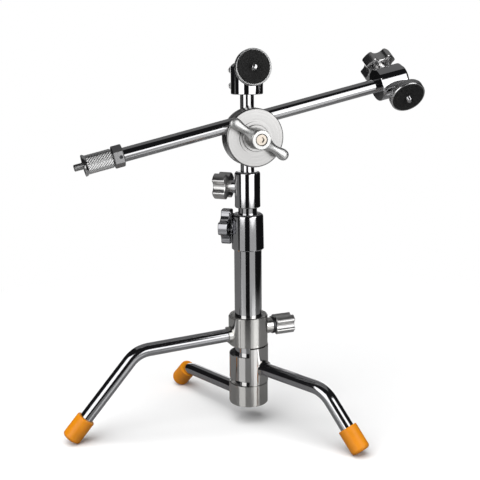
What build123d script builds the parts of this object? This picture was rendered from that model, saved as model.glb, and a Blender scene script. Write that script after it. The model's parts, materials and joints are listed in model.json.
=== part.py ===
"""Small C-stand: turtle base, two-stage mast, grip head, boom and two ball-head camera mounts.

Millimetres, +Z up. The origin lies on the mast axis in the plane of the floor.
Azimuths are degrees about +Z from the -Y direction, positive towards +X.
"""
from math import cos, radians, sin, sqrt
import os

from build123d import *

# ---- fits ----
FIT = 0.03              # radial gap between pieces fixed to each other
RUN = 0.05              # radial gap of turning and sliding pairs

# ---- mast ----
BASE_TUBE_R = 16.3
BASE_TUBE_WALL = 2.4
BASE_TUBE_BOTTOM = 24.0
BASE_TUBE_TOP = 232.0
RISER_R = 11.0
RISER_WALL = 1.9
RISER_BOTTOM = 52.0
RISER_TOP = 282.0
ROD_R = 8.0             # 5/8 inch stud size, nominal 16 mm
ROD_BOTTOM = 86.0
LOWER_COLLAR_R = 18.6
LOWER_COLLAR_BOTTOM = 215.0
LOWER_COLLAR_TOP = 257.6
UPPER_COLLAR_R = 15.0
UPPER_COLLAR_BOTTOM = 264.7
UPPER_COLLAR_TOP = 307.0
PLUG_HEIGHT = 10.0
GUIDE_LENGTH = 12.0     # sliding guides at the lower ends of riser and rod

# ---- legs: azimuth, reach of the foot, reach and height of the elbow, height of the root ----
LEG_R = 8.0
LEG_WALL = 1.5
LEG_BEND_R = 34.0
LEG_ROOT_REACH = 17.6
LEGS = {
    "a": dict(azimuth=-72.5, reach=217.5, elbow_reach=136.2, elbow_z=102.7, root_z=112.6),
    "b": dict(azimuth=50.4, reach=161.8, elbow_reach=110.7, elbow_z=65.3, root_z=71.7),
    "c": dict(azimuth=-142.2, reach=151.5, elbow_reach=128.6, elbow_z=28.6, root_z=34.0),
}
CAP_R = 11.3
CAP_LENGTH = 30.0
CAP_END_ROUND = 4.0
CAP_FLOOR_DEPTH = 3.5   # solid rubber beyond the end of the tube
CAP_FACET = 0.25        # how much of the rounded rim is worn flat by the floor

# ---- leg collars: bottom, top, and bottom and top of the lug that carries the leg ----
COLLAR_R = 23.2
COLLAR_LUG_R = 23.8
COLLAR_LUG_ARC = 96.0
COLLARS = {
    "a": dict(bottom=97.8, top=134.7, lug_bottom=99.0, lug_top=132.6),
    "b": dict(bottom=55.7, top=87.2, lug_bottom=51.0, lug_top=97.4),
    "c": dict(bottom=24.0, top=50.6, lug_bottom=24.0, lug_top=50.6),
}
SOCKET_R = 10.0         # short boss around each leg root
SOCKET_REACH = 26.5

# ---- lock screws and lobed knobs; radial distances from the mast axis ----
SCREW_R = 4.0
BOSS_R = 8.0
KNOB_HUB_R = 7.0
UPPER_LOCK = dict(azimuth=-114.0, z=288.3, tip=10.4, boss=17.5, knob=23.5, thick=15.5,
                  knob_r=17.0, turn=45.0)
LOWER_LOCK = dict(azimuth=-106.0, z=241.0, tip=13.3, boss=19.0, knob=19.8, thick=10.8,
                  knob_r=21.0, turn=0.0)
LEG_LOCK = dict(azimuth=112.0, z=117.0, tip=16.8, boss=29.5, knob=33.4, thick=24.0,
                knob_r=12.6, turn=45.0)

# ---- grip head: distances along the head axis from the mast axis ----
HEAD_Z = 348.2
HEAD_AZIMUTH = 16.0
HEAD_BODY_R = 17.0
HEAD_BODY_BACK = -16.0
HEAD_BODY_FRONT = 8.9
EYE_R = 11.5
EYE_HALF_HEIGHT = 4.0
DISC_R = 33.0
BACK_DISC_BACK = 9.6
FRONT_DISC_FRONT = 32.5
CLAMP_PLANE = 21.0      # middle of the boom and of the gap between the discs
DISC_GAP = 1.2
SMALL_JAW_R = 4.8       # second groove, for 3/8 inch rods, opposite the boom
SMALL_JAW_OFFSET = 19.5
FRONT_BOSS_R = 18.3
FRONT_BOSS_HEIGHT = 1.5
BOLT_R = 5.0
BOLT_END = 51.2
HANDLE_END = 56.0
HANDLE_BAR_D = 47.0
HANDLE_BAR_TILT = -33.6
HANDLE_SPAN_R = 39.0

# ---- boom: stations along the boom from the head axis, left negative ----
BOOM_R = 8.0
BOOM_TILT = 13.0
BOOM_OFFSET = 19.1      # boom axis above the head axis
BOOM_LEFT_END = -152.0
HEX_COLLAR = (-157.5, -145.8)
HEX_CORNER_R = 12.5
SLEEVE = (-185.8, -157.8)
SLEEVE_R = 10.6
FLANGE_R = 12.0
FLANGE_FACE = -190.3
STUD_TIP = -200.5
STUD_R = 4.0
STUD_SHANK_R = 3.7      # necked inside the sleeve, so that the sleeve is captive
STUD_THREAD_START = FLANGE_FACE - 0.3
BOOM_MOUNT_START = 158.5

# ---- ball-head camera mounts, in their own frame: z outward, x through the neck notch ----
HOUSING_R = 18.5
HOUSING_LENGTH = 34.5
HOUSING_SOCKET = 9.0
BALL_Z = 27.5
BALL_R = 11.0
MOUTH_R = 13.0
NOTCH_WIDTH = 12.0
NOTCH_BOTTOM = 20.4
NECK_R = 3.5
LOCK_SCREW_Z = 16.5
PLATE_R = 20.5
PLATE_BACK = 24.05
PLATE_FRONT = 32.6
PAD_R = 18.2
PAD_FACE = 33.4
CAMERA_SCREW_R = 3.175  # 1/4 inch camera thread
CAMERA_SCREW_END = 39.0
CAMERA_SHANK_R = 2.9    # necked inside the plate, so that the screw is captive
CAMERA_THREAD_START = PAD_FACE + 0.25
MOUNT_KNOB = dict(boss=20.8, knob=23.5, thick=14.0, knob_r=20.5)
TOP_MOUNT_Z = 395.0
TOP_MOUNT = dict(notch_azimuth=6.0, yaw=7.0, pitch=6.0)
BOOM_MOUNT = dict(notch_drop=38.0, yaw=-2.6, pitch=-6.1)


def finish(builder, name):
    """Label the finished piece and write it."""
    builder.part.label = name
    export_step(builder.part, f"parts/{name}.step")
    print(f"{name:22s} {builder.part.volume / 1000.0:9.2f} cm3")


def outward(azimuth):
    """Unit vector away from the mast at an azimuth."""
    return Vector(sin(radians(azimuth)), -cos(radians(azimuth)), 0)


def radial_plane(azimuth, z, reach=0.0):
    """Plane facing away from the mast, its x level and its y up."""
    direction = outward(azimuth)
    level = Vector(-direction.Y, direction.X, 0)
    origin = direction * reach + Vector(0, 0, z)
    return Plane(origin=origin, x_dir=level, z_dir=direction)


def turned(plane, angle):
    """The same plane with its x direction turned about its z direction."""
    x_dir = plane.x_dir.rotate(Axis((0, 0, 0), plane.z_dir), angle)
    return Plane(origin=plane.origin, x_dir=x_dir, z_dir=plane.z_dir)


HEAD_PLANE = radial_plane(HEAD_AZIMUTH, HEAD_Z)
BOOM_ALONG = HEAD_PLANE.x_dir * cos(radians(BOOM_TILT)) + HEAD_PLANE.y_dir * sin(radians(BOOM_TILT))
BOOM_ABOVE = HEAD_PLANE.y_dir * cos(radians(BOOM_TILT)) - HEAD_PLANE.x_dir * sin(radians(BOOM_TILT))
BOOM_ORIGIN = HEAD_PLANE.origin + HEAD_PLANE.z_dir * CLAMP_PLANE + BOOM_ABOVE * BOOM_OFFSET
BOOM_PLANE = Plane(origin=BOOM_ORIGIN, x_dir=BOOM_ABOVE, z_dir=BOOM_ALONG)


# ---------------------------------------------------------------- base and mast
def mast_tubes():
    """Base tube, its bottom plug, the riser, the top rod and their sliding guides."""
    base_bore = BASE_TUBE_R - BASE_TUBE_WALL
    riser_bore = RISER_R - RISER_WALL

    with BuildPart() as base_tube:
        with BuildSketch(Plane.XY.offset(BASE_TUBE_BOTTOM)):
            Circle(BASE_TUBE_R)
            Circle(base_bore, mode=Mode.SUBTRACT)
        extrude(amount=BASE_TUBE_TOP - BASE_TUBE_BOTTOM)
    finish(base_tube, "base_tube")

    with BuildPart() as base_plug:
        with BuildSketch(Plane.XY.offset(BASE_TUBE_BOTTOM)):
            Circle(base_bore - FIT)
        extrude(amount=PLUG_HEIGHT)
        chamfer(base_plug.edges().group_by(Axis.Z)[-1], length=1.0)
    finish(base_plug, "base_plug")

    with BuildPart() as riser_tube:
        with BuildSketch(Plane.XY.offset(RISER_BOTTOM)):
            Circle(RISER_R)
            Circle(riser_bore, mode=Mode.SUBTRACT)
        extrude(amount=RISER_TOP - RISER_BOTTOM)
    finish(riser_tube, "riser_tube")

    with BuildPart() as riser_guide:
        with BuildSketch(Plane.XY.offset(RISER_BOTTOM)):
            Circle(base_bore - RUN)
            Circle(RISER_R + FIT, mode=Mode.SUBTRACT)
        extrude(amount=GUIDE_LENGTH)
    finish(riser_guide, "riser_guide")

    with BuildPart() as mast_rod:
        with BuildSketch(Plane.XY.offset(ROD_BOTTOM)):
            Circle(ROD_R)
        extrude(amount=TOP_MOUNT_Z + HOUSING_SOCKET - FIT - ROD_BOTTOM)
        chamfer(mast_rod.edges().group_by(Axis.Z)[-1], length=0.8)
    finish(mast_rod, "mast_rod")

    with BuildPart() as rod_guide:
        with BuildSketch(Plane.XY.offset(ROD_BOTTOM - GUIDE_LENGTH - FIT)):
            Circle(riser_bore - RUN)
        extrude(amount=GUIDE_LENGTH)
        chamfer(rod_guide.edges().group_by(Axis.Z)[0], length=1.0)
    finish(rod_guide, "rod_guide")


def mast_collars():
    """The turned collars on top of the base tube and of the riser, each with a lock boss."""
    boss_start = 8.0
    with BuildPart() as lower_collar:
        with BuildSketch(Plane.XY.offset(LOWER_COLLAR_BOTTOM)):
            Circle(LOWER_COLLAR_R + 0.5)
        with BuildSketch(Plane.XY.offset(LOWER_COLLAR_TOP)):
            Circle(LOWER_COLLAR_R - 0.3)
        loft()
        fillet(lower_collar.edges().group_by(Axis.Z)[-1], radius=3.0)
        chamfer(lower_collar.edges().group_by(Axis.Z)[0], length=1.0)
        with BuildSketch(radial_plane(LOWER_LOCK["azimuth"], LOWER_LOCK["z"], boss_start)):
            Circle(BOSS_R)
        extrude(amount=LOWER_LOCK["boss"] - boss_start)
        with BuildSketch(Plane.XY.offset(LOWER_COLLAR_BOTTOM)):
            Circle(RISER_R + RUN)
        extrude(amount=LOWER_COLLAR_TOP - LOWER_COLLAR_BOTTOM, mode=Mode.SUBTRACT)
        with BuildSketch(Plane.XY.offset(LOWER_COLLAR_BOTTOM)):
            Circle(BASE_TUBE_R + FIT)
        extrude(amount=BASE_TUBE_TOP + FIT - LOWER_COLLAR_BOTTOM, mode=Mode.SUBTRACT)
        with BuildSketch(radial_plane(LOWER_LOCK["azimuth"], LOWER_LOCK["z"], boss_start)):
            Circle(SCREW_R + RUN)
        extrude(amount=LOWER_LOCK["boss"], mode=Mode.SUBTRACT)
    finish(lower_collar, "lower_mast_collar")

    with BuildPart() as upper_collar:
        with BuildSketch(Plane.XY.offset(UPPER_COLLAR_BOTTOM)):
            Circle(UPPER_COLLAR_R)
        extrude(amount=UPPER_COLLAR_TOP - UPPER_COLLAR_BOTTOM)
        fillet(upper_collar.edges().group_by(Axis.Z)[-1], radius=3.0)
        fillet(upper_collar.edges().group_by(Axis.Z)[0], radius=1.5)
        with BuildSketch(radial_plane(UPPER_LOCK["azimuth"], UPPER_LOCK["z"], boss_start)):
            Circle(BOSS_R)
        extrude(amount=UPPER_LOCK["boss"] - boss_start)
        with BuildSketch(Plane.XY.offset(UPPER_COLLAR_BOTTOM)):
            Circle(ROD_R + RUN)
        extrude(amount=UPPER_COLLAR_TOP - UPPER_COLLAR_BOTTOM, mode=Mode.SUBTRACT)
        with BuildSketch(Plane.XY.offset(UPPER_COLLAR_BOTTOM)):
            Circle(RISER_R + FIT)
        extrude(amount=RISER_TOP + FIT - UPPER_COLLAR_BOTTOM, mode=Mode.SUBTRACT)
        with BuildSketch(radial_plane(UPPER_LOCK["azimuth"], UPPER_LOCK["z"], ROD_R - 1)):
            Circle(SCREW_R + RUN)
        extrude(amount=UPPER_LOCK["boss"], mode=Mode.SUBTRACT)
    finish(upper_collar, "upper_mast_collar")


# ---------------------------------------------------------------- knobs and lock screws
def lobed_knob(name, plane, hub_start, lobes_start, thick, radius, turn):
    """Four-lobed knob of a radius, turned by a number of degrees about its screw."""
    face = turned(plane, turn)
    axis = Axis(face.origin, face.z_dir)
    with BuildPart() as knob:
        with BuildSketch(face.offset(lobes_start)) as outline:
            Circle(radius)
            with PolarLocations(radius * 1.13, 4, start_angle=45):
                Circle(radius * 0.44, mode=Mode.SUBTRACT)
            fillet(outline.vertices(), radius=radius * 0.14)
        extrude(amount=thick)
        fillet(knob.faces().sort_by(axis)[-1].edges(), radius=1.0)
        chamfer(knob.faces().sort_by(axis)[0].edges(), length=0.7)
        with BuildSketch(face.offset(hub_start)):
            Circle(KNOB_HUB_R)
        extrude(amount=lobes_start - hub_start + 0.5)
        with BuildSketch(face.offset(hub_start)):
            Circle(SCREW_R + FIT)
        extrude(amount=lobes_start - hub_start + thick * 0.6, mode=Mode.SUBTRACT)
    finish(knob, name)


def lock_screw(name, plane, tip, knob_start, depth_in_knob, tip_length=1.5):
    """Clamping screw with a turned-down tip, its head end buried in the knob."""
    with BuildPart() as screw:
        with BuildSketch(plane.offset(tip)):
            Circle(SCREW_R - 1.2)
        extrude(amount=tip_length)
        with BuildSketch(plane.offset(tip + tip_length)):
            Circle(SCREW_R)
        extrude(amount=knob_start + depth_in_knob - tip - tip_length)
    finish(screw, name)


def mast_locks():
    """Lock knobs, screws and brake shoes of both mast stages."""
    for stage, lock, tube_r in (("lower", LOWER_LOCK, RISER_R), ("upper", UPPER_LOCK, ROD_R)):
        plane = radial_plane(lock["azimuth"], lock["z"])
        lobed_knob(f"{stage}_lock_knob", plane, lock["boss"] + 0.4, lock["knob"], lock["thick"],
                   lock["knob_r"], lock["turn"])
        lock_screw(f"{stage}_lock_screw", plane, lock["tip"], lock["knob"], lock["thick"] * 0.55)
        with BuildPart() as shoe:
            with BuildSketch(plane.offset(tube_r + RUN)):
                Circle(SCREW_R - FIT)
            extrude(amount=lock["tip"] - tube_r - 2 * RUN)
            with BuildSketch(Plane.XY.offset(lock["z"] - BOSS_R)):
                Circle(tube_r + RUN)
            extrude(amount=2 * BOSS_R, mode=Mode.SUBTRACT)
        finish(shoe, f"{stage}_brake_shoe")


def leg_lock():
    """Knob, screw and washer that clamp the top leg collar to the base tube."""
    plane = radial_plane(LEG_LOCK["azimuth"], LEG_LOCK["z"])
    washer_start = LEG_LOCK["boss"] + 0.1
    hub_start = washer_start + 3.2
    lobed_knob("leg_lock_knob", plane, hub_start, LEG_LOCK["knob"], LEG_LOCK["thick"],
               LEG_LOCK["knob_r"], LEG_LOCK["turn"])
    lock_screw("leg_lock_screw", plane, LEG_LOCK["tip"], LEG_LOCK["knob"], LEG_LOCK["thick"] * 0.55)
    with BuildPart() as washer:
        with BuildSketch(plane.offset(washer_start)):
            Circle(10.4)
            Circle(SCREW_R + FIT, mode=Mode.SUBTRACT)
        extrude(amount=hub_start - washer_start - FIT)
        chamfer(washer.edges().filter_by(GeomType.CIRCLE).sort_by(SortBy.RADIUS)[-2:], length=0.6)
    finish(washer, "leg_lock_washer")


# ---------------------------------------------------------------- legs
def leg_route(leg):
    """Corner points of a leg's centre line: root, elbow and foot, and the foot's slope."""
    drop = (leg["root_z"] - leg["elbow_z"]) / leg["elbow_reach"]
    away = outward(leg["azimuth"])
    slope = 50.0
    for _ in range(5):
        rim = (CAP_R - CAP_END_ROUND) * cos(radians(slope))
        end_z = rim + CAP_END_ROUND * (1 - sin(radians(slope))) - CAP_FACET
        run = Vector(leg["reach"] - leg["elbow_reach"], leg["elbow_z"] - end_z, 0)
        slope = Vector(1, 0, 0).get_angle(run)
    root = away * LEG_ROOT_REACH + Vector(0, 0, leg["root_z"] - drop * LEG_ROOT_REACH)
    elbow = away * leg["elbow_reach"] + Vector(0, 0, leg["elbow_z"])
    foot = away * leg["reach"] + Vector(0, 0, end_z)
    return root, elbow, foot


def leg_collar(key, leg):
    """Ring round the base tube with a taller lug on the side that carries its leg."""
    size = COLLARS[key]
    root, elbow, _ = leg_route(leg)
    leg_axis = (elbow - root).normalized()
    lug_from = leg["azimuth"] - 90.0 - COLLAR_LUG_ARC / 2
    with BuildPart() as collar:
        with BuildSketch(Plane.XY.offset(size["bottom"])):
            Circle(COLLAR_R)
        extrude(amount=size["top"] - size["bottom"])
        chamfer(collar.edges(), length=0.7)
        with BuildSketch(Plane.XY.offset(size["lug_bottom"])):
            with BuildLine():
                rim = CenterArc((0, 0), COLLAR_LUG_R, lug_from, COLLAR_LUG_ARC)
                Polyline(rim @ 1, (0, 0), rim @ 0)
            make_face()
        extrude(amount=size["lug_top"] - size["lug_bottom"])
        chamfer(collar.edges().group_by(Axis.Z)[0], length=0.4)
        chamfer(collar.edges().group_by(Axis.Z)[-1], length=0.4)
        with BuildSketch(Plane(origin=root, z_dir=leg_axis)):
            Circle(SOCKET_R)
        extrude(amount=SOCKET_REACH - LEG_ROOT_REACH)
        if key == "a":
            lock_plane = radial_plane(LEG_LOCK["azimuth"], LEG_LOCK["z"], BASE_TUBE_R)
            with BuildSketch(lock_plane):
                Circle(9.5)
            extrude(amount=LEG_LOCK["boss"] - BASE_TUBE_R)
        with BuildSketch(Plane(origin=root, z_dir=leg_axis)):
            Circle(LEG_R + FIT)
        extrude(amount=SOCKET_REACH, mode=Mode.SUBTRACT)
        with BuildSketch(Plane.XY):
            Circle(BASE_TUBE_R + (FIT if key == "c" else RUN))
        extrude(amount=size["top"] + size["lug_top"], mode=Mode.SUBTRACT)
        if key == "a":
            with BuildSketch(lock_plane.offset(-1)):
                Circle(SCREW_R + RUN)
            extrude(amount=LEG_LOCK["boss"], mode=Mode.SUBTRACT)
    finish(collar, f"leg_collar_{key}")


def leg_tube(key, leg):
    """Bent steel tube from its collar to the floor."""
    root, elbow, foot = leg_route(leg)
    end = foot + (elbow - foot).normalized() * (CAP_FLOOR_DEPTH + FIT)
    with BuildPart() as tube:
        with BuildLine() as route:
            FilletPolyline(root, elbow, end, radius=LEG_BEND_R)
        with BuildSketch(Plane(origin=route.line @ 0, z_dir=route.line % 0)):
            Circle(LEG_R)
            Circle(LEG_R - LEG_WALL, mode=Mode.SUBTRACT)
        sweep()
        with BuildSketch(Plane.XY):
            Circle(BASE_TUBE_R + 1.0)
        extrude(amount=HEAD_Z, mode=Mode.SUBTRACT)
    finish(tube, f"leg_tube_{key}")


def foot_cap(key, leg):
    """Rubber cap over the end of a leg, flattened where it stands on the floor."""
    root, elbow, foot = leg_route(leg)
    plane = Plane(origin=foot, z_dir=elbow - foot)
    axis = Axis(plane.origin, plane.z_dir)
    with BuildPart() as cap:
        with BuildSketch(plane):
            Circle(CAP_R)
        extrude(amount=CAP_LENGTH)
        rims = cap.edges().filter_by(GeomType.CIRCLE).sort_by(axis)
        fillet(rims[0], radius=CAP_END_ROUND)
        fillet(cap.edges().filter_by(GeomType.CIRCLE).sort_by(axis)[-1], radius=0.9)
        with BuildLine() as route:
            FilletPolyline(plane.offset(CAP_FLOOR_DEPTH).origin, elbow, root, radius=LEG_BEND_R)
        with BuildSketch(Plane(origin=route.line @ 0, z_dir=route.line % 0)):
            Circle(LEG_R + FIT)
        sweep(mode=Mode.SUBTRACT)
        split(bisect_by=Plane.XY, keep=Keep.TOP)
    finish(cap, f"foot_cap_{key}")


# ---------------------------------------------------------------- grip head
def head_disc(name, back, front, boss):
    """One of the two clamping discs, with half of the boom's groove in its inner face."""
    with BuildPart() as disc:
        with BuildSketch(HEAD_PLANE.offset(back)):
            Circle(DISC_R)
        extrude(amount=front - back)
        axis = Axis(HEAD_PLANE.origin, HEAD_PLANE.z_dir)
        outer = disc.faces().sort_by(axis)[-1 if boss else 0]
        fillet(outer.edges(), radius=1.6)
        if boss:
            with BuildSketch(HEAD_PLANE.offset(front)):
                Circle(FRONT_BOSS_R)
            extrude(amount=FRONT_BOSS_HEIGHT)
        else:
            with BuildSketch(HEAD_PLANE.offset(back)):
                Circle(EYE_R + 0.7)
            extrude(amount=EYE_R + 0.7 - back, mode=Mode.SUBTRACT)
        with BuildSketch(HEAD_PLANE.offset(back)):
            Circle(BOLT_R + RUN)
        extrude(amount=FRONT_DISC_FRONT, mode=Mode.SUBTRACT)
        with BuildSketch(HEAD_PLANE.offset(CLAMP_PLANE - 4)):
            Circle(9.8)
        extrude(amount=8, mode=Mode.SUBTRACT)
        with BuildSketch(BOOM_PLANE.offset(-1.5 * DISC_R)):
            Circle(BOOM_R + RUN)
            with Locations((-BOOM_OFFSET - SMALL_JAW_OFFSET, 0)):
                Circle(SMALL_JAW_R)
        extrude(amount=3 * DISC_R, mode=Mode.SUBTRACT)
    finish(disc, name)


def head_body():
    """Knuckle bored for the mast rod, with a slot for the eye of the draw bolt."""
    with BuildPart() as body:
        with BuildSketch(HEAD_PLANE.offset(HEAD_BODY_BACK)):
            Circle(HEAD_BODY_R)
        extrude(amount=HEAD_BODY_FRONT - HEAD_BODY_BACK)
        axis = Axis(HEAD_PLANE.origin, HEAD_PLANE.z_dir)
        fillet(body.faces().sort_by(axis)[0].edges(), radius=4.0)
        with BuildSketch(Plane.XY.offset(HEAD_Z - HEAD_BODY_R - 1)):
            Circle(ROD_R + RUN)
        extrude(amount=2 * HEAD_BODY_R + 2, mode=Mode.SUBTRACT)
        with BuildSketch(Plane.XY.offset(HEAD_Z - EYE_HALF_HEIGHT - 0.2)):
            Circle(EYE_R + 0.3)
        extrude(amount=2 * EYE_HALF_HEIGHT + 0.4, mode=Mode.SUBTRACT)
        with BuildSketch(HEAD_PLANE):
            Rectangle(2 * EYE_R + 0.6, 2 * EYE_HALF_HEIGHT + 0.4)
        extrude(amount=HEAD_BODY_FRONT + 1, mode=Mode.SUBTRACT)
        with BuildSketch(HEAD_PLANE.offset(EYE_R - 5)):
            Circle(BOLT_R + RUN)
        extrude(amount=5, mode=Mode.SUBTRACT)
    finish(body, "head_body")


def draw_bolt():
    """Eye bolt round the mast rod whose shank carries the discs and the handle."""
    tapped_depth = 11.0
    with BuildPart() as bolt:
        with BuildSketch(Plane.XY.offset(HEAD_Z - EYE_HALF_HEIGHT)):
            Circle(EYE_R)
        extrude(amount=2 * EYE_HALF_HEIGHT)
        with BuildSketch(HEAD_PLANE.offset(EYE_R - 2)):
            Circle(BOLT_R)
        extrude(amount=BOLT_END - EYE_R + 2)
        with BuildSketch(Plane.XY.offset(HEAD_Z - EYE_HALF_HEIGHT - 1)):
            Circle(ROD_R + 0.08)
        extrude(amount=2 * EYE_HALF_HEIGHT + 2, mode=Mode.SUBTRACT)
        with BuildSketch(HEAD_PLANE.offset(BOLT_END - tapped_depth)):
            Circle(2.5 + FIT)
        extrude(amount=tapped_depth, mode=Mode.SUBTRACT)
    finish(bolt, "draw_bolt")

    with BuildPart() as end_screw:
        with BuildSketch(HEAD_PLANE.offset(BOLT_END - tapped_depth + 0.5)):
            Circle(2.5)
        extrude(amount=tapped_depth)
        with BuildSketch(HEAD_PLANE.offset(BOLT_END + 0.1)):
            Circle(6.2)
        extrude(amount=4.0)
        fillet(end_screw.edges().sort_by(Axis(HEAD_PLANE.origin, HEAD_PLANE.z_dir))[-1], radius=0.6)
        with BuildSketch(HEAD_PLANE.offset(BOLT_END + 1.6)):
            RegularPolygon(radius=3.4, side_count=6)
        extrude(amount=3.0, mode=Mode.SUBTRACT)
    finish(end_screw, "handle_end_screw")


def head_small_parts():
    """Friction washer, disc spring and thrust washer on the draw bolt."""
    with BuildPart() as friction_washer:
        with BuildSketch(HEAD_PLANE.offset(HEAD_BODY_FRONT + RUN)):
            Circle(HEAD_BODY_R - 1.0)
            Circle(EYE_R + 0.8, mode=Mode.SUBTRACT)
        extrude(amount=BACK_DISC_BACK - HEAD_BODY_FRONT - 2 * RUN)
    finish(friction_washer, "friction_washer")

    half = 3.8
    cone_face = 0.9
    inner_r = BOLT_R + 0.4
    outer_r = 9.4
    with BuildPart() as disc_spring:
        with BuildSketch(Plane(origin=HEAD_PLANE.origin, x_dir=HEAD_PLANE.x_dir,
                               z_dir=-HEAD_PLANE.y_dir)):
            with BuildLine():
                Polyline((inner_r, CLAMP_PLANE - half), (outer_r, CLAMP_PLANE - 0.1),
                         (outer_r, CLAMP_PLANE + 0.1), (inner_r, CLAMP_PLANE + half),
                         (inner_r, CLAMP_PLANE + half - cone_face), (outer_r - cone_face, CLAMP_PLANE),
                         (inner_r, CLAMP_PLANE - half + cone_face), close=True)
            make_face()
        revolve(axis=Axis(HEAD_PLANE.origin, HEAD_PLANE.z_dir))
    finish(disc_spring, "disc_spring")

    washer_start = FRONT_DISC_FRONT + FRONT_BOSS_HEIGHT + RUN
    with BuildPart() as thrust_washer:
        with BuildSketch(HEAD_PLANE.offset(washer_start)):
            Circle(15.0)
            Circle(BOLT_R + RUN, mode=Mode.SUBTRACT)
        extrude(amount=1.9)
        chamfer(thrust_washer.faces().sort_by(Axis(HEAD_PLANE.origin, HEAD_PLANE.z_dir))[-1]
                .outer_wire().edges(), length=0.5)
    finish(thrust_washer, "thrust_washer")


def tee_handle():
    """Tapered hub with two arms that swell into flattened tips."""
    hub_start = FRONT_DISC_FRONT + FRONT_BOSS_HEIGHT + 2.0
    bar_plane = HEAD_PLANE.offset(HANDLE_BAR_D)
    along = turned(bar_plane, HANDLE_BAR_TILT).x_dir
    sections = ((4.0, 7.0, 7.4), (16.0, 5.4, 4.6), (26.0, 5.4, 3.9), (34.0, 6.2, 4.1),
                (HANDLE_SPAN_R - 1.2, 4.2, 2.9), (HANDLE_SPAN_R, 1.8, 1.3))
    with BuildPart() as handle:
        with BuildSketch(HEAD_PLANE.offset(hub_start)):
            Circle(12.0)
        with BuildSketch(HEAD_PLANE.offset(HANDLE_END)):
            Circle(10.7)
        loft()
        front = handle.faces().sort_by(Axis(HEAD_PLANE.origin, HEAD_PLANE.z_dir))[-1]
        fillet(front.edges(), radius=0.8)
        for side in (1, -1):
            with BuildPart(mode=Mode.PRIVATE) as arm:
                for reach, half_width, half_depth in sections:
                    with BuildSketch(Plane(origin=bar_plane.origin + along * side * reach,
                                           x_dir=bar_plane.z_dir, z_dir=along * side)):
                        Ellipse(half_depth, half_width)
                loft()
            add(arm.part)
        with BuildSketch(HEAD_PLANE.offset(hub_start)):
            Circle(BOLT_R + RUN)
        extrude(amount=HANDLE_END, mode=Mode.SUBTRACT)
        with BuildSketch(HEAD_PLANE.offset(BOLT_END - 0.4)):
            Circle(6.9)
        extrude(amount=HANDLE_END, mode=Mode.SUBTRACT)
    finish(handle, "tee_handle")


# ---------------------------------------------------------------- boom
def boom():
    """Boom rod with the hexagonal collar, thumb sleeve and stud at its left end."""
    stud_depth = 13.0
    with BuildPart() as boom_rod:
        with BuildSketch(BOOM_PLANE.offset(BOOM_LEFT_END)):
            Circle(BOOM_R)
        extrude(amount=BOOM_MOUNT_START + HOUSING_SOCKET - FIT - BOOM_LEFT_END)
        with BuildSketch(BOOM_PLANE.offset(BOOM_LEFT_END)):
            Circle(STUD_SHANK_R + FIT)
        extrude(amount=stud_depth, mode=Mode.SUBTRACT)
    finish(boom_rod, "boom_rod")

    left, right = HEX_COLLAR
    boom_axis = Axis(BOOM_PLANE.origin, BOOM_PLANE.z_dir)
    flat_r = HEX_CORNER_R * sqrt(3) / 2
    with BuildPart() as hex_collar:
        with BuildSketch(BOOM_PLANE.offset(left)):
            RegularPolygon(radius=HEX_CORNER_R, side_count=6)
        extrude(amount=right - left)
        with BuildSketch(BOOM_PLANE.offset(left)):
            Circle(HEX_CORNER_R)
        extrude(amount=right - left, mode=Mode.INTERSECT)
        with BuildSketch(BOOM_PLANE.offset(left)):
            Circle(STUD_SHANK_R + RUN)
        extrude(amount=right - left, mode=Mode.SUBTRACT)
        with BuildSketch(BOOM_PLANE.offset(BOOM_LEFT_END - FIT)):
            Circle(BOOM_R + FIT)
        extrude(amount=right - left, mode=Mode.SUBTRACT)
        screw_plane = Plane(origin=BOOM_PLANE.origin + BOOM_PLANE.z_dir * (left + right + 4) / 2,
                            z_dir=BOOM_PLANE.y_dir)
        with BuildSketch(screw_plane.offset(BOOM_R - 1)):
            Circle(2.0 + FIT)
        extrude(amount=flat_r, mode=Mode.SUBTRACT)
        chamfer(hex_collar.faces().sort_by(boom_axis)[0].outer_wire().edges(), length=0.9)
        chamfer(hex_collar.faces().sort_by(boom_axis)[-1].outer_wire().edges(), length=0.9)
    finish(hex_collar, "hex_collar")

    with BuildPart() as set_screw:
        with BuildSketch(screw_plane.offset(BOOM_R + FIT)):
            Circle(2.0)
        extrude(amount=flat_r - BOOM_R - 0.5)
        with BuildSketch(screw_plane.offset(flat_r - 1.6)):
            RegularPolygon(radius=1.2, side_count=6)
        extrude(amount=3, mode=Mode.SUBTRACT)
    finish(set_screw, "collar_set_screw")

    sleeve_left, sleeve_right = SLEEVE
    with BuildPart() as sleeve:
        with BuildSketch(Plane(origin=BOOM_PLANE.origin, x_dir=BOOM_PLANE.x_dir,
                               z_dir=-BOOM_PLANE.y_dir)):
            with BuildLine():
                Polyline((STUD_SHANK_R + RUN, sleeve_right), (SLEEVE_R - 0.8, sleeve_right),
                         (SLEEVE_R, sleeve_right - 0.8), (SLEEVE_R, sleeve_left),
                         (FLANGE_R, FLANGE_FACE + 1.8), (FLANGE_R, FLANGE_FACE + 0.4),
                         (FLANGE_R - 0.4, FLANGE_FACE), (STUD_SHANK_R + RUN, FLANGE_FACE), close=True)
            make_face()
        revolve(axis=boom_axis)
    finish(sleeve, "thumb_sleeve")

    with BuildPart() as end_stud:
        with BuildSketch(BOOM_PLANE.offset(STUD_TIP)):
            Circle(STUD_R)
        extrude(amount=STUD_THREAD_START - STUD_TIP)
        chamfer(end_stud.edges().sort_by(boom_axis)[0], length=0.8)
        with BuildSketch(BOOM_PLANE.offset(STUD_THREAD_START)):
            Circle(STUD_SHANK_R)
        extrude(amount=BOOM_LEFT_END + stud_depth - 0.5 - STUD_THREAD_START)
    finish(end_stud, "end_stud")


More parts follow.
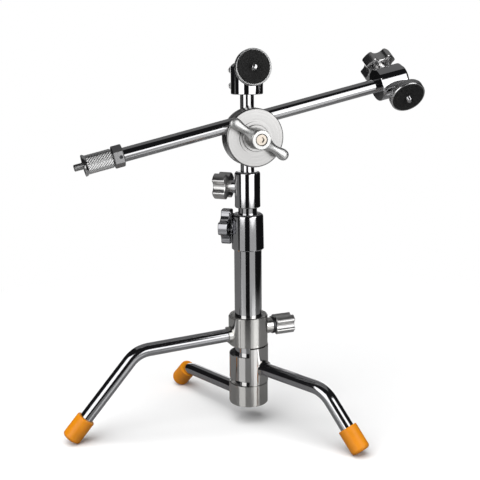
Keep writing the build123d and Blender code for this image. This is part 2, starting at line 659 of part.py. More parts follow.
# ---------------------------------------------------------------- camera mounts
def neck_direction(frame, yaw, pitch):
    """Direction of a mount's neck, turned sideways in its notch and raised towards the mouth."""
    level = frame.x_dir * cos(radians(yaw)) + frame.y_dir * sin(radians(yaw))
    return level * cos(radians(pitch)) + frame.z_dir * sin(radians(pitch))


def mount_housing(name, frame):
    """Turned cup with a socket for its rod, a ball cavity and a notch in its rim."""
    axis = Axis(frame.origin, frame.z_dir)
    ball_plane = frame.offset(BALL_Z)
    screw_plane = Plane(origin=frame.offset(LOCK_SCREW_Z).origin, z_dir=-frame.x_dir)
    notch = Plane(origin=ball_plane.origin, x_dir=frame.y_dir, z_dir=frame.x_dir)
    notch_height = HOUSING_LENGTH - NOTCH_BOTTOM + 1
    notch_middle = NOTCH_BOTTOM + notch_height / 2 - BALL_Z
    with BuildPart() as housing:
        with BuildSketch(frame):
            Circle(HOUSING_R)
        extrude(amount=HOUSING_LENGTH)
        chamfer(housing.faces().sort_by(axis)[-1].edges(), length=3.5)
        chamfer(housing.faces().sort_by(axis)[0].edges(), length=0.6)
        with BuildSketch(screw_plane):
            Circle(BOSS_R)
        extrude(amount=MOUNT_KNOB["boss"] - 0.4)
        with BuildSketch(frame):
            Circle(ROD_R + FIT)
        extrude(amount=HOUSING_SOCKET, mode=Mode.SUBTRACT)
        with BuildSketch(frame.offset(HOUSING_SOCKET + 2)):
            Circle(BALL_R + 0.1)
        extrude(amount=HOUSING_LENGTH, mode=Mode.SUBTRACT)
        with BuildSketch(ball_plane):
            Circle(MOUTH_R)
        extrude(amount=HOUSING_LENGTH, mode=Mode.SUBTRACT)
        with BuildSketch(notch):
            with Locations((0, notch_middle)):
                Rectangle(NOTCH_WIDTH, notch_height)
        extrude(amount=HOUSING_R + 1, mode=Mode.SUBTRACT)
        with BuildSketch(screw_plane.offset(BALL_R - 1)):
            Circle(SCREW_R + RUN)
        extrude(amount=HOUSING_R, mode=Mode.SUBTRACT)
    finish(housing, f"{name}_housing")

    with BuildPart() as retaining_ring:
        with BuildSketch(ball_plane.offset(0.1)):
            Circle(MOUTH_R - FIT)
        extrude(amount=HOUSING_LENGTH - BALL_Z - 0.2)
        with BuildSketch(notch):
            with Locations((0, notch_middle)):
                Rectangle(NOTCH_WIDTH, notch_height)
        extrude(amount=HOUSING_R + 1, mode=Mode.SUBTRACT)
        with Locations(ball_plane):
            Sphere(BALL_R + RUN, mode=Mode.SUBTRACT)
    finish(retaining_ring, f"{name}_retaining_ring")

    with BuildPart() as ball_cup:
        with BuildSketch(frame.offset(HOUSING_SOCKET + 2.2)):
            Circle(BALL_R)
        extrude(amount=NOTCH_BOTTOM - HOUSING_SOCKET - 2.2)
        with Locations(ball_plane):
            Sphere(BALL_R + RUN, mode=Mode.SUBTRACT)
        with BuildSketch(screw_plane.offset(BALL_R - 3.4)):
            Circle(SCREW_R - 0.9)
        extrude(amount=HOUSING_R, mode=Mode.SUBTRACT)
    finish(ball_cup, f"{name}_ball_cup")


def mount_lock(name, frame):
    """Lock knob and screw of a camera mount, on the side away from the notch."""
    plane = Plane(origin=frame.offset(LOCK_SCREW_Z).origin, x_dir=frame.y_dir, z_dir=-frame.x_dir)
    lobes = MOUNT_KNOB["knob"]
    thick = MOUNT_KNOB["thick"]
    lobed_knob(f"{name}_lock_knob", plane, MOUNT_KNOB["boss"], lobes, thick, MOUNT_KNOB["knob_r"], 45.0)
    lock_screw(f"{name}_lock_screw", plane, BALL_R - 3.0, lobes, thick * 0.55, 3.2)


def mount_top(name, frame, yaw, pitch):
    """Ball with its neck and camera screw, the knurled plate and the rubber pad."""
    ball_plane = frame.offset(BALL_Z)
    direction = neck_direction(frame, yaw, pitch)
    neck = Plane(origin=ball_plane.origin, x_dir=frame.z_dir.cross(direction), z_dir=direction)
    axis = Axis(neck.origin, neck.z_dir)
    shoulder = 20.0
    with BuildPart() as ball_stud:
        with Locations(neck):
            Sphere(BALL_R)
        with BuildSketch(neck):
            Circle(NECK_R)
        extrude(amount=shoulder)
        with BuildSketch(neck.offset(shoulder)):
            Circle(5.5)
        extrude(amount=PLATE_BACK - FIT - shoulder)
        with BuildSketch(neck.offset(shoulder)):
            Circle(CAMERA_SHANK_R)
        extrude(amount=CAMERA_THREAD_START - shoulder)
        with BuildSketch(neck.offset(CAMERA_THREAD_START)):
            Circle(CAMERA_SCREW_R)
        extrude(amount=CAMERA_SCREW_END - CAMERA_THREAD_START)
        chamfer(ball_stud.faces().sort_by(axis)[-1].edges(), length=0.5)
    finish(ball_stud, f"{name}_ball_stud")

    with BuildPart() as plate:
        with BuildSketch(neck.offset(PLATE_BACK)):
            Circle(PLATE_R)
        extrude(amount=PLATE_FRONT - PLATE_BACK)
        chamfer(plate.faces().sort_by(axis)[-1].edges(), length=0.5)
        chamfer(plate.faces().sort_by(axis)[0].edges(), length=1.2)
        with BuildSketch(neck.offset(PLATE_FRONT - 0.9)):
            Circle(PAD_R + FIT)
        extrude(amount=1, mode=Mode.SUBTRACT)
        with BuildSketch(neck.offset(PLATE_BACK)):
            Circle(CAMERA_SHANK_R + RUN)
        extrude(amount=PLATE_FRONT, mode=Mode.SUBTRACT)
    finish(plate, f"{name}_plate")

    with BuildPart() as pad:
        with BuildSketch(neck.offset(PLATE_FRONT - 0.9 + FIT)):
            Circle(PAD_R)
            Circle(CAMERA_SCREW_R + 0.1, mode=Mode.SUBTRACT)
        extrude(amount=PAD_FACE - PLATE_FRONT + 0.9 - FIT)
        chamfer(pad.faces().sort_by(axis)[-1].outer_wire().edges(), length=0.3)
    finish(pad, f"{name}_pad")


def camera_mounts():
    """The mount on top of the mast rod and the one at the right end of the boom."""
    top_frame = Plane(origin=(0, 0, TOP_MOUNT_Z), x_dir=outward(TOP_MOUNT["notch_azimuth"]),
                      z_dir=(0, 0, 1))
    drop = radians(BOOM_MOUNT["notch_drop"])
    notch_direction = BOOM_PLANE.y_dir * cos(drop) - BOOM_PLANE.x_dir * sin(drop)
    boom_frame = Plane(origin=BOOM_PLANE.offset(BOOM_MOUNT_START).origin, x_dir=notch_direction,
                       z_dir=BOOM_PLANE.z_dir)
    for name, frame, pose in (("top_mount", top_frame, TOP_MOUNT), ("boom_mount", boom_frame, BOOM_MOUNT)):
        mount_housing(name, frame)
        mount_lock(name, frame)
        mount_top(name, frame, pose["yaw"], pose["pitch"])


def main():
    os.makedirs("parts", exist_ok=True)
    mast_tubes()
    mast_collars()
    mast_locks()
    leg_lock()
    for key, leg in LEGS.items():
        leg_collar(key, leg)
        leg_tube(key, leg)
        foot_cap(key, leg)
    head_body()
    draw_bolt()
    head_small_parts()
    head_disc("back_disc", BACK_DISC_BACK, CLAMP_PLANE - DISC_GAP / 2, boss=False)
    head_disc("front_disc", CLAMP_PLANE + DISC_GAP / 2, FRONT_DISC_FRONT, boss=True)
    tee_handle()
    boom()
    camera_mounts()


main()
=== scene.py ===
"""Looks of the small C-stand: chrome mast, legs and boom, turned grip head, rubber caps and pads."""
import json
import math

import bmesh
import bpy
from mathutils import Matrix, Vector

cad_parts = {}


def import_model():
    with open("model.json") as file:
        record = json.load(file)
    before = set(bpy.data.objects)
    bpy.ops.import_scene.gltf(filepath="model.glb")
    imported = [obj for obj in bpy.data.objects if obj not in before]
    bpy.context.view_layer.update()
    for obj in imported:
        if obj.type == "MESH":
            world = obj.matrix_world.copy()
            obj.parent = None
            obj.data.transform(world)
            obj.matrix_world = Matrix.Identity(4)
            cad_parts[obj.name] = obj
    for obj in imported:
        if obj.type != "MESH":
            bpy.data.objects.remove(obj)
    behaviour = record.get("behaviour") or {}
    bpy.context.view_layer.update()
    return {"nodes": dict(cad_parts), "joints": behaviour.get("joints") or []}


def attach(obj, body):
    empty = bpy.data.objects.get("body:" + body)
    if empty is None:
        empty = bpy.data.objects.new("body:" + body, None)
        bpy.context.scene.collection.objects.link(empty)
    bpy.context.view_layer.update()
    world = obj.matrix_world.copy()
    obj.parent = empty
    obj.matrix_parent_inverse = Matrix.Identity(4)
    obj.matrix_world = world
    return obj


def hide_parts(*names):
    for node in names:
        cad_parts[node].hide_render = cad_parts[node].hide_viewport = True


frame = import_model()

MM = 0.001
NODES = frame["nodes"]
JOINTS = {joint["name"]: joint for joint in frame["joints"]}
CAD_SHARP_ANGLE = math.radians(28)
TURNED_SHARP_ANGLE = math.radians(34)

# ---- between a shank and the bore that turns on it, in millimetres ----
RUNNING_GAP = 0.05

# ---- thumb sleeve and end stud, in millimetres; heights run along the boom ----
SLEEVE_R = 10.6
SLEEVE_LIP_R = 12.0
SLEEVE_OUTER_END = -190.3
SLEEVE_INNER_END = -157.85
SLEEVE_KNURL_START = -185.6
SLEEVE_KNURL_END = -159.0
SLEEVE_KNURL_COUNT = 22
SLEEVE_KNURL_DEPTH = 0.9
SLEEVE_KNURL_PITCH = 3.2
SLEEVE_CROSS_CUT = 0.25
END_STUD_R = 4.0
END_STUD_SHANK_R = 3.7
END_STUD_TIP = -200.5
END_STUD_THREAD_END = -190.7
END_STUD_ROOT = -139.6
END_STUD_THREAD_DEPTH = 0.55
END_STUD_PITCH = 1.25

# ---- camera mounts, in millimetres; heights run from the centre of the ball ----
BALL_R = 11.0
NECK_R = 3.5
FLANGE_R = 5.5
FLANGE_BACK = 20.0
FLANGE_FACE = 24.02
PLATE_R = 20.5
PLATE_BACK = 24.05
PLATE_FRONT = 32.6
PLATE_SEAT = 31.7
PLATE_KNURL_START = 25.3
PLATE_KNURL_END = 31.6
PLATE_KNURL_COUNT = 84
PLATE_KNURL_DEPTH = 0.4
PLATE_KNURL_PITCH = 1.5
PAD_R = 18.2
PAD_FACE = 33.4
PAD_THICKNESS = 1.6
PAD_BORE_GAP = 0.12
PAD_GRID_PITCH = 1.55
PAD_GRID_DEPTH = 0.35
PAD_EDGE_DROP = 0.15
CAMERA_SCREW_R = 3.175
CAMERA_SHANK_R = 2.9
CAMERA_THREAD_START = 33.65
CAMERA_SCREW_END = 39.0
CAMERA_SCREW_THREAD_DEPTH = 0.5
CAMERA_SCREW_PITCH = 1.27

# ---- surface grain: noise scales per metre, heights in metres, the darkest shade as a share ----
METAL_CLOUD_SCALE = 38.0
METAL_WEAR_SCALE = 900.0
METAL_WEAR_HEIGHT = 0.000004
METAL_DARKEST = 0.93
BANDS_PER_LINE = 0.4
RUBBER_CLOUD_SCALE = 60.0
RUBBER_GRAIN_SCALE = 1400.0
RUBBER_DARKEST = 0.85
RUBBER_ROUGHNESS_SPREAD = 0.12
RUBBER_GLOW_RADIUS = (0.004, 0.0015, 0.0005)

# ---- floor: the camera sees white; metal sees a table that ends at these places, in metres ----
FLOOR_SIZE = 12.0
FLOOR_DROP = 0.0001
WHITE_FADE = (0.30, 0.75)
TABLE_FRONT_EDGE = (-0.46, -0.30)
TABLE_RIGHT_EDGE = (0.40, 0.60)
TABLE_BACK_EDGE = (1.0, 1.4)
ROOM_LEVEL = 0.006
TABLE_LEVEL = 0.24
TABLE_SHEEN = 0.35

# ---- lights, in metres ----
STAND_MIDDLE = Vector((0, 0, 0.25))

# ---- camera, fitted to the photo: millimetres for the lens, degrees and metres for its place ----
SENSOR_WIDTH = 36.0
LENS = 65.25
CAMERA_PITCH = 12.5
CAMERA_ROLL = -0.46
CAMERA_AT = (-0.0092, -1.0, 0.447)


# ------------------------------------------------------------------ materials
class Nodes:
    """Short-hand for building a node tree. An input is a value, or the output that feeds it."""

    def __init__(self, tree):
        self.tree = tree

    def add(self, kind, inputs=None, **settings):
        node = self.tree.nodes.new(kind)
        for name, value in settings.items():
            setattr(node, name, value)
        for key, value in (inputs or {}).items():
            if isinstance(value, bpy.types.NodeSocket):
                self.tree.links.new(value, node.inputs[key])
            else:
                node.inputs[key].default_value = value
        return node

    def feed(self, output, shader, name):
        """Links an output to one of a shader's inputs."""
        self.tree.links.new(output, shader.inputs[name])

    def math(self, operation, first, second):
        return self.add("ShaderNodeMath", {0: first, 1: second}, operation=operation).outputs[0]

    def vector(self, operation, first, second=(0.0, 0.0, 0.0)):
        return self.add("ShaderNodeVectorMath", {0: first, 1: second}, operation=operation)

    def scaled(self, vector, factor):
        return self.add("ShaderNodeVectorMath", {0: vector, "Scale": factor}, operation="SCALE").outputs[0]

    def span(self, value, low, high, to_low, to_high):
        """Maps low..high to to_low..to_high, clamped at both ends."""
        node = self.add("ShaderNodeMapRange", {0: value, 1: low, 2: high, 3: to_low, 4: to_high})
        return node.outputs[0]

    def noise(self, vector, scale, detail=3.0):
        node = self.add("ShaderNodeTexNoise", {"Vector": vector, "Scale": scale, "Detail": detail})
        return node.outputs[0]

    def line_noise(self, place, per_metre, detail):
        """Noise that varies with one number only."""
        stretched = self.add("ShaderNodeCombineXYZ", {0: self.math("MULTIPLY", place, per_metre)})
        return self.noise(stretched.outputs[0], 1.0, detail)

    def shades(self, factor, color, darkest):
        """A colour that runs from a darker shade of itself to itself as the factor goes from 0 to 1."""
        dark = [channel * darkest for channel in color]
        return self.add("ShaderNodeMixRGB", {0: factor, 1: (*dark, 1.0), 2: (*color, 1.0)}).outputs[0]

    def position(self):
        return self.add("ShaderNodeTexCoord").outputs["Object"]

    def axis_coordinates(self, origin, axis):
        """Distance from an axis, and distance along it, in metres."""
        offset = self.vector("SUBTRACT", self.position(), origin).outputs[0]
        along = self.vector("DOT_PRODUCT", offset, axis).outputs["Value"]
        away = self.vector("SUBTRACT", offset, self.scaled(axis, along)).outputs[0]
        return self.vector("LENGTH", away).outputs["Value"], along

    def bump(self, height, distance, strength=1.0, normal=None):
        inputs = {"Height": height, "Distance": distance, "Strength": strength}
        if normal is not None:
            inputs["Normal"] = normal
        return self.add("ShaderNodeBump", inputs).outputs[0]


def material(name):
    """New material, its node builder and its shader."""
    made = bpy.data.materials.new(name)
    made.use_nodes = True
    nodes = Nodes(made.node_tree)
    return made, nodes, made.node_tree.nodes["Principled BSDF"]


def metal(name, color, roughness, spread, lines=None, line_depth=0.0, line_pitch=0.3, bands=0.0):
    """Plated or turned metal, whose roughness varies by spread in soft patches.

    Lines run round an axis (origin, direction), as a lathe leaves them. line_depth and line_pitch are in
    millimetres. bands darkens some of the rings by up to that share.
    """
    made, nodes, shader = material(name)
    place = nodes.position()
    cloud = nodes.noise(place, METAL_CLOUD_SCALE, 4.0)
    wear = nodes.noise(place, METAL_WEAR_SCALE, 2.0)
    tint = nodes.shades(nodes.span(cloud, 0.35, 0.7, 0.0, 1.0), color, METAL_DARKEST)
    rough = nodes.span(cloud, 0.3, 0.75, roughness, roughness + spread)
    normal = nodes.bump(wear, METAL_WEAR_HEIGHT, 0.6)
    if lines:
        away, along = nodes.axis_coordinates(*lines)
        across = nodes.math("ADD", away, along)
        lines_per_metre = 1.0 / (line_pitch * MM)
        ridges = nodes.line_noise(across, lines_per_metre, 2.0)
        normal = nodes.bump(ridges, line_depth * MM, 1.0, normal)
        rings = nodes.line_noise(across, BANDS_PER_LINE * lines_per_metre, 3.0)
        tint = nodes.scaled(tint, nodes.span(rings, 0.35, 0.65, 1.0 - bands, 1.0))
    shader.inputs["Metallic"].default_value = 1.0
    nodes.feed(rough, shader, "Roughness")
    nodes.feed(tint, shader, "Base Color")
    nodes.feed(normal, shader, "Normal")
    return made


def rubber(name, color, roughness, grain, coat=0.0, glow=0.0):
    """Moulded rubber or plastic with fine grain, in millimetres; glow is light spread under the skin."""
    made, nodes, shader = material(name)
    place = nodes.position()
    cloud = nodes.span(nodes.noise(place, RUBBER_CLOUD_SCALE, 3.0), 0.3, 0.7, 0.0, 1.0)
    rough = nodes.span(cloud, 0.0, 1.0, roughness, roughness + RUBBER_ROUGHNESS_SPREAD)
    nodes.feed(nodes.shades(cloud, color, RUBBER_DARKEST), shader, "Base Color")
    nodes.feed(rough, shader, "Roughness")
    nodes.feed(nodes.bump(nodes.noise(place, RUBBER_GRAIN_SCALE, 2.0), grain * MM), shader, "Normal")
    shader.inputs["Coat Weight"].default_value = coat
    shader.inputs["Coat Roughness"].default_value = 0.12
    shader.inputs["Subsurface Weight"].default_value = glow
    shader.inputs["Subsurface Radius"].default_value = RUBBER_GLOW_RADIUS
    shader.inputs["Subsurface Scale"].default_value = 1.0
    return made


def joint_axis(name):
    """Origin and direction of a joint's axis, in metres."""
    joint = JOINTS[name]
    return Vector(joint.get("pos_m", (0, 0, 0))), Vector(joint["axis"])


MAST = (Vector((0, 0, 0)), Vector((0, 0, 1)))
HEAD = joint_axis("grip_tilt")
BOOM = joint_axis("thumb_sleeve_turn")

chrome = metal("chrome", (0.66, 0.66, 0.67), 0.045, 0.03)
leg_chrome = metal("leg_chrome", (0.64, 0.64, 0.66), 0.07, 0.05)
satin_nickel = metal("satin_nickel", (0.80, 0.79, 0.765), 0.13, 0.06,
                     lines=MAST, line_depth=0.004, line_pitch=0.25, bands=0.08)
bright_nickel = metal("bright_nickel", (0.72, 0.71, 0.70), 0.06, 0.05)
turned = metal("turned_aluminium", (0.51, 0.505, 0.50), 0.20, 0.08,
               lines=HEAD, line_depth=0.012, line_pitch=0.55, bands=0.22)
satin = metal("satin_aluminium", (0.78, 0.775, 0.765), 0.26, 0.08)
handle_metal = metal("cast_handle", (0.93, 0.93, 0.92), 0.38, 0.08)
collar_metal = metal("plated_collar", (0.36, 0.36, 0.365), 0.24, 0.08)
knob_metal = metal("satin_knob", (0.86, 0.855, 0.85), 0.20, 0.08)
dark_chrome = metal("dark_chrome", (0.42, 0.42, 0.44), 0.14, 0.06)
steel = metal("machined_steel", (0.60, 0.60, 0.60), 0.22, 0.1)
black_steel = metal("blackened_steel", (0.09, 0.09, 0.095), 0.30, 0.1)
warm_screw = metal("warm_screw", (0.56, 0.50, 0.43), 0.18, 0.06)
knurl_metal = metal("knurled_steel", (0.86, 0.86, 0.86), 0.16, 0.08)
amber = rubber("amber_rubber", (0.78, 0.265, 0.004), 0.40, 0.012, coat=0.10, glow=0.10)
black = rubber("black_rubber", (0.010, 0.010, 0.010), 0.50, 0.02)
acetal = rubber("grey_acetal", (0.40, 0.40, 0.39), 0.45, 0.004)

FINISH = {
    chrome: ("base_tube", "riser_tube", "mast_rod", "lower_mast_collar", "upper_mast_collar",
             "boom_rod", "head_body", "top_mount_housing", "boom_mount_housing"),
    collar_metal: ("hex_collar",),
    handle_metal: ("tee_handle",),
    bright_nickel: ("leg_collar_b",),
    knob_metal: ("boom_mount_lock_knob", "top_mount_lock_knob"),
    leg_chrome: ("leg_tube_a", "leg_tube_b", "leg_tube_c"),
    satin_nickel: ("leg_collar_a", "leg_collar_c"),
    turned: ("back_disc", "front_disc", "thrust_washer"),
    satin: ("upper_lock_knob", "leg_lock_knob", "top_mount_retaining_ring",
            "boom_mount_retaining_ring"),
    dark_chrome: ("lower_lock_knob",),
    black_steel: ("leg_lock_washer", "collar_set_screw"),
    warm_screw: ("handle_end_screw", "lower_brake_shoe", "upper_brake_shoe"),
    amber: ("foot_cap_a", "foot_cap_b", "foot_cap_c"),
    acetal: ("base_plug", "riser_guide", "rod_guide", "friction_washer", "top_mount_ball_cup",
             "boom_mount_ball_cup"),
}
finish_of = {node: made for made, names in FINISH.items() for node in names}

for name, node in NODES.items():
    node.data.materials.clear()
    node.data.materials.append(finish_of.get(name, steel))
    node.data.set_sharp_from_angle(angle=CAD_SHARP_ANGLE)
    for polygon in node.data.polygons:
        polygon.use_smooth = True


# ------------------------------------------------------------------ turned pieces
def local_frame(origin, axis):
    """Matrix at the origin whose z runs along the axis and whose x is level."""
    z = Vector(axis).normalized()
    x = Vector((0, 0, 1)).cross(z).normalized()
    y = z.cross(x)
    return Matrix(((x.x, y.x, z.x, origin[0]), (x.y, y.y, z.y, origin[1]),
                   (x.z, y.z, z.z, origin[2]), (0, 0, 0, 1)))


def object_from(mesh, name):
    """Turns a finished bmesh into an object in the scene."""
    data = bpy.data.meshes.new(name)
    mesh.to_mesh(data)
    mesh.free()
    made = bpy.data.objects.new(name, data)
    bpy.context.scene.collection.objects.link(made)
    return made


def turned_mesh(name, rows, columns, radius_at, place, closed=False):
    """Surface of revolution from rows of (radius, height, kind) in millimetres.

    radius_at may shift a row's radius round it. closed joins the last row to the first, to leave a bore.
    """
    mesh = bmesh.new()
    rings = []
    for radius, height, kind in rows:
        if radius == 0:
            rings.append([mesh.verts.new((0, 0, height * MM))] * columns)
            continue
        ring = []
        for i in range(columns):
            angle = 2 * math.pi * i / columns
            reach = radius_at(radius, height, angle, kind) * MM
            ring.append(mesh.verts.new((reach * math.cos(angle), reach * math.sin(angle), height * MM)))
        rings.append(ring)
    pairs = list(zip(rings, rings[1:]))
    if closed:
        pairs.append((rings[-1], rings[0]))
    for low, high in pairs:
        for i in range(columns):
            j = (i + 1) % columns
            corners = []
            for vert in (low[i], low[j], high[j], high[i]):
                if vert not in corners:
                    corners.append(vert)
            if len(corners) > 2:
                mesh.faces.new(corners)
    bmesh.ops.recalc_face_normals(mesh, faces=mesh.faces)
    piece = object_from(mesh, name)
    piece.matrix_world = place
    for polygon in piece.data.polygons:
        polygon.use_smooth = True
    piece.data.set_sharp_from_angle(angle=TURNED_SHARP_ANGLE)
    return piece


def rows_between(r_low, z_low, r_high, z_high, count, kind=""):
    """Evenly spaced rows from one radius and height to another."""
    steps = [i / count for i in range(count + 1)]
    return [(r_low + (r_high - r_low) * t, z_low + (z_high - z_low) * t, kind) for t in steps]


def triangle(value):
    """Triangle wave between 0 and 1 with period 1."""
    return abs((value % 1.0) * 2 - 1)


def groove(value):
    """One knurl cut with period 1, as a share of the full depth: 0 on its flat crest, 0.88 at its bottom."""
    steepness, lift = 1.25, 0.12
    return 1 - min(1.0, steepness * triangle(value) + lift)


def knurl(count, depth, pitch, cross=1.0):
    """Crossed helical cuts that leave diamonds, on rows of kind 'knurl'.

    cross is the second cut's depth as a share of the first's.
    """
    def radius_at(radius, height, angle, kind):
        if kind != "knurl":
            return radius
        turn = angle / (2 * math.pi) * count
        rise = height / pitch
        return radius - depth * max(groove(turn + rise), cross * groove(turn - rise))
    return radius_at


def threaded(depth, pitch):
    """Helical thread on rows of kind 'thread'."""
    def radius_at(radius, height, angle, kind):
        if kind != "thread":
            return radius
        return radius - depth * triangle(height / pitch - angle / (2 * math.pi))
    return radius_at


def dress(piece, finish, body, slot, *stands_for):
    """Gives a mesh its material and body, in place of the CAD nodes it stands for. slot is not used."""
    piece.data.materials.append(finish)
    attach(piece, body)
    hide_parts(*stands_for)
    return piece


# ------------------------------------------------------------------ sleeve and stud on the boom's left end
def thumb_sleeve(name, place):
    """Knurled sleeve with a plain lip at its outer end, bored for the stud."""
    bore = END_STUD_SHANK_R + RUNNING_GAP
    rows = [(bore, SLEEVE_OUTER_END, "")]
    rows += rows_between(11.6, SLEEVE_OUTER_END, SLEEVE_LIP_R, -189.9, 1)
    rows += [(SLEEVE_LIP_R, -188.6, "")]
    rows += rows_between(SLEEVE_LIP_R, -188.5, 10.3, -186.0, 2)
    rows += rows_between(SLEEVE_R, SLEEVE_KNURL_START, SLEEVE_R, SLEEVE_KNURL_END, 110, "knurl")
    rows += [(9.9, -158.5, ""), (9.4, SLEEVE_INNER_END, ""), (bore, SLEEVE_INNER_END, "")]
    cuts = knurl(SLEEVE_KNURL_COUNT, SLEEVE_KNURL_DEPTH, SLEEVE_KNURL_PITCH, SLEEVE_CROSS_CUT)
    return turned_mesh(name, rows, 240, cuts, place, closed=True)


def end_stud(name, place):
    """Threaded tip, and a plain shank that the sleeve turns on."""
    rows = [(0, END_STUD_TIP, ""), (3.1, END_STUD_TIP, ""), (3.6, -200.0, "")]
    rows += rows_between(END_STUD_R, -199.8, END_STUD_R, END_STUD_THREAD_END, 72, "thread")
    rows += [(END_STUD_SHANK_R, -190.6, ""), (END_STUD_SHANK_R, END_STUD_ROOT, ""), (0, END_STUD_ROOT, "")]
    return turned_mesh(name, rows, 64, threaded(END_STUD_THREAD_DEPTH, END_STUD_PITCH), place)


boom_place = local_frame(*BOOM)
dress(thumb_sleeve("thumb_sleeve_knurled", boom_place), knurl_metal, "thumb_sleeve", "plate_metal",
      "thumb_sleeve")
dress(end_stud("end_stud_threaded", boom_place), steel, "boom", "steel", "end_stud")


# ------------------------------------------------------------------ ball stud, plate and pad of each mount
def ball_stud(name, place):
    """Ball, neck, flange and camera screw in one piece."""
    rows = [(0, -BALL_R, "")]
    for i in range(1, 40):
        tilt = math.pi * i / 44
        rows.append((BALL_R * math.sin(tilt), -BALL_R * math.cos(tilt), ""))
    neck_start = math.sqrt(BALL_R ** 2 - NECK_R ** 2)
    rows = [row for row in rows if row[1] < neck_start]
    rows += [(NECK_R, 10.7, ""), (NECK_R, FLANGE_BACK, ""), (5.0, FLANGE_BACK, "")]
    rows += [(FLANGE_R, 20.5, ""), (FLANGE_R, FLANGE_FACE, ""), (CAMERA_SHANK_R, FLANGE_FACE, "")]
    rows += [(CAMERA_SHANK_R, CAMERA_THREAD_START, "")]
    rows += rows_between(CAMERA_SCREW_R, CAMERA_THREAD_START + 0.05, CAMERA_SCREW_R,
                         CAMERA_SCREW_END - 0.5, 32, "thread")
    rows += [(2.5, CAMERA_SCREW_END - 0.2, ""), (2.1, CAMERA_SCREW_END, ""), (0, CAMERA_SCREW_END, "")]
    return turned_mesh(name, rows, 64, threaded(CAMERA_SCREW_THREAD_DEPTH, CAMERA_SCREW_PITCH), place)


def plate(name, place):
    """Round plate with a knurled rim and a shallow recess that holds the pad."""
    bore = CAMERA_SHANK_R + RUNNING_GAP
    rows = [(bore, PLATE_BACK, ""), (18.9, PLATE_BACK, ""), (19.4, 24.3, ""), (20.0, 25.0, "")]
    rows += rows_between(PLATE_R, PLATE_KNURL_START, PLATE_R, PLATE_KNURL_END, 20, "knurl")
    rows += [(20.1, 31.9, ""), (19.9, 32.45, ""), (19.7, PLATE_FRONT, ""), (18.6, PLATE_FRONT, "")]
    rows += [(18.4, 32.4, ""), (PAD_R + 0.03, PLATE_SEAT, ""), (bore, PLATE_SEAT, "")]
    cuts = knurl(PLATE_KNURL_COUNT, PLATE_KNURL_DEPTH, PLATE_KNURL_PITCH)
    return turned_mesh(name, rows, 336, cuts, place, closed=True)


def pad(name, place):
    """Rubber disc whose face is moulded in small square pyramids."""
    rings, columns = 62, 288
    mesh = bmesh.new()
    inner = CAMERA_SCREW_R + PAD_BORE_GAP
    diagonal = PAD_GRID_PITCH * 1.414
    steepness = 1.6
    grid = []
    for k in range(rings + 1):
        radius = inner + (PAD_R - inner) * k / rings
        ring = []
        for i in range(columns):
            angle = 2 * math.pi * i / columns
            x, y = radius * math.cos(angle), radius * math.sin(angle)
            peak = min(triangle((x + y) / diagonal), triangle((x - y) / diagonal))
            height = PAD_FACE - PAD_GRID_DEPTH * (1 - min(1.0, steepness * peak))
            if k < 2 or k > rings - 2:
                height = PAD_FACE - PAD_EDGE_DROP
            ring.append(mesh.verts.new((x * MM, y * MM, height * MM)))
        grid.append(ring)
    back = PAD_FACE - PAD_THICKNESS
    for radius in (PAD_R, inner):
        grid.append([mesh.verts.new((radius * math.cos(2 * math.pi * i / columns) * MM,
                                     radius * math.sin(2 * math.pi * i / columns) * MM, back * MM))
                     for i in range(columns)])
    for low, high in zip(grid, grid[1:] + grid[:1]):
        for i in range(columns):
            j = (i + 1) % columns
            mesh.faces.new((low[i], low[j], high[j], high[i]))
    bmesh.ops.recalc_face_normals(mesh, faces=mesh.faces)
    piece = object_from(mesh, name)
    piece.matrix_world = place
    return piece


for mount in ("top_mount", "boom_mount"):
    place = local_frame(*joint_axis(f"{mount}_plate_turn"))
    dress(ball_stud(f"{mount}_ball_stud_threaded", place), chrome, f"{mount}_ball", "steel",
          f"{mount}_ball_stud")
    dress(plate(f"{mount}_plate_knurled", place), knurl_metal, f"{mount}_plate", "plate_metal",
          f"{mount}_plate")
    dress(pad(f"{mount}_pad_moulded", place), black, f"{mount}_plate", "black_rubber", f"{mount}_pad")


# ------------------------------------------------------------------ floor, light, camera
def mixed(nodes, factor, first, second):
    """Mix of two shaders: the first where the factor is 0, the second where it is 1."""
    return nodes.add("ShaderNodeMixShader", {0: factor, 1: first.outputs[0], 2: second.outputs[0]})


def camera_ray(nodes):
    """1 for what the camera sees directly, 0 for light, shadow and reflections."""
    return nodes.add("ShaderNodeLightPath").outputs["Is Camera Ray"]


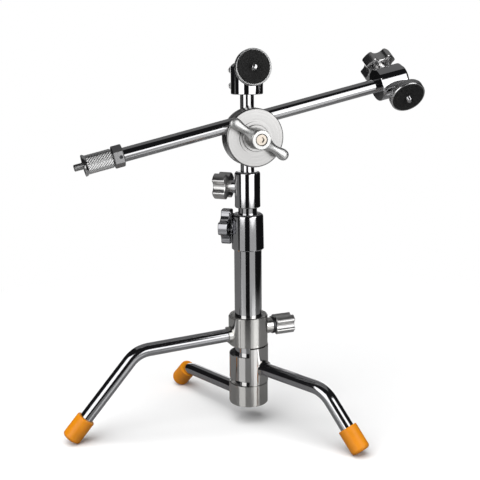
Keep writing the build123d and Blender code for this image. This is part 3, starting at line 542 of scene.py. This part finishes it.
def floor():
    """White floor for the camera; in reflections a darker, glossy table with a dim room past its edges."""
    mesh = bmesh.new()
    bmesh.ops.create_grid(mesh, x_segments=2, y_segments=2, size=FLOOR_SIZE)
    ground = object_from(mesh, "floor")
    ground.location.z = -FLOOR_DROP
    made, nodes, shader = material("pale_floor")
    place = nodes.position()
    cloud = nodes.noise(place, 3.0)
    tint = nodes.add("ShaderNodeMixRGB", {0: cloud, 1: (0.86, 0.86, 0.86, 1), 2: (0.88, 0.88, 0.88, 1)})
    nodes.feed(tint.outputs[0], shader, "Base Color")
    shader.inputs["Roughness"].default_value = 0.9
    shader.inputs["Specular IOR Level"].default_value = 0.1
    away = nodes.vector("LENGTH", place).outputs["Value"]
    glow = nodes.add("ShaderNodeEmission", {0: (1, 1, 1, 1), 1: 1.0})
    seen_by_camera = mixed(nodes, nodes.span(away, *WHITE_FADE, 0.0, 1.0), shader, glow)
    axes = nodes.add("ShaderNodeSeparateXYZ", {0: place})
    front = nodes.span(axes.outputs[1], *TABLE_FRONT_EDGE, 0.0, 1.0)
    right = nodes.span(axes.outputs[0], *TABLE_RIGHT_EDGE, 1.0, 0.0)
    back = nodes.span(axes.outputs[1], *TABLE_BACK_EDGE, 1.0, 0.0)
    table = nodes.math("MULTIPLY", nodes.math("MULTIPLY", front, right), back)
    level = nodes.span(table, 0.0, 1.0, ROOM_LEVEL, TABLE_LEVEL)
    grey = nodes.add("ShaderNodeCombineColor", {0: level, 1: level, 2: level})
    dull = nodes.add("ShaderNodeBsdfDiffuse", {0: grey.outputs[0]})
    sheen = nodes.add("ShaderNodeBsdfGlossy", {0: (0.8, 0.8, 0.8, 1), 1: 0.12})
    seen_in_metal = mixed(nodes, TABLE_SHEEN, dull, sheen)
    both = mixed(nodes, camera_ray(nodes), seen_in_metal, seen_by_camera)
    nodes.feed(both.outputs[0], made.node_tree.nodes["Material Output"], 0)
    ground.data.materials.append(made)


def softbox(name, azimuth, elevation, distance, width, height, radiance):
    """Rectangular light aimed at the stand's middle; azimuth 0 is the camera's side. Degrees and metres."""
    data = bpy.data.lights.new(name, "AREA")
    data.shape = "RECTANGLE"
    data.size, data.size_y = width, height
    data.energy = radiance * math.pi * width * height
    lamp = bpy.data.objects.new(name, data)
    bpy.context.scene.collection.objects.link(lamp)
    turn, rise = math.radians(azimuth), math.radians(elevation)
    out = Vector((math.sin(turn) * math.cos(rise), -math.cos(turn) * math.cos(rise), math.sin(rise)))
    lamp.location = STAND_MIDDLE + out * distance
    lamp.rotation_mode = "QUATERNION"
    lamp.rotation_quaternion = (-out).to_track_quat("-Z", "Y")
    lamp.visible_camera = False


def overhead(strength, spread, tilt):
    """Broad soft light from above that fills without showing in the metal. Spread and tilt in degrees."""
    data = bpy.data.lights.new("overhead", "SUN")
    data.energy = strength
    data.angle = math.radians(spread)
    lamp = bpy.data.objects.new("overhead", data)
    bpy.context.scene.collection.objects.link(lamp)
    lamp.rotation_euler = (math.radians(tilt[0]), math.radians(tilt[1]), 0)
    lamp.visible_glossy = False


def world():
    """White behind the stand for the camera, a dim room for reflections."""
    made = bpy.data.worlds.new("studio")
    made.use_nodes = True
    nodes = Nodes(made.node_tree)
    nodes.tree.nodes.clear()
    room = nodes.add("ShaderNodeBackground", {0: (0.012, 0.012, 0.013, 1), 1: 1.0})
    white = nodes.add("ShaderNodeBackground", {0: (1, 1, 1, 1), 1: 1.0})
    both = mixed(nodes, camera_ray(nodes), room, white)
    nodes.feed(both.outputs[0], nodes.add("ShaderNodeOutputWorld"), 0)
    bpy.context.scene.world = made


def camera():
    """Camera that looks along +Y and down, at the place the photo was taken from."""
    data = bpy.data.cameras.new("camera")
    data.sensor_width = SENSOR_WIDTH
    data.lens = LENS
    cam = bpy.data.objects.new("camera", data)
    bpy.context.scene.collection.objects.link(cam)
    pitch, roll = math.radians(CAMERA_PITCH), math.radians(CAMERA_ROLL)
    ahead = Vector((0, math.cos(pitch), -math.sin(pitch)))
    right, up = Vector((1, 0, 0)), Vector((0, math.sin(pitch), math.cos(pitch)))
    x = right * math.cos(roll) + up * math.sin(roll)
    y = up * math.cos(roll) - right * math.sin(roll)
    z = -ahead
    cam.matrix_world = Matrix(((x.x, y.x, z.x, CAMERA_AT[0]), (x.y, y.y, z.y, CAMERA_AT[1]),
                               (x.z, y.z, z.z, CAMERA_AT[2]), (0, 0, 0, 1)))
    bpy.context.scene.camera = cam


floor()
world()
camera()
overhead(strength=3.4, spread=70, tilt=(18, -14))
softbox("left_panel", azimuth=-40, elevation=4, distance=1.5, width=1.05, height=1.6, radiance=1.7)
softbox("right_panel", azimuth=37, elevation=-6, distance=1.5, width=1.3, height=1.0, radiance=1.7)
softbox("high_right_panel", azimuth=48, elevation=21, distance=1.5, width=0.92, height=1.0,
        radiance=1.7)
softbox("back_panel", azimuth=180, elevation=58, distance=1.6, width=2.4, height=2.6, radiance=0.16)
softbox("low_back_panel", azimuth=180, elevation=-6, distance=1.5, width=1.2, height=0.9, radiance=1.1)
bpy.context.scene.view_settings.view_transform = "Standard"
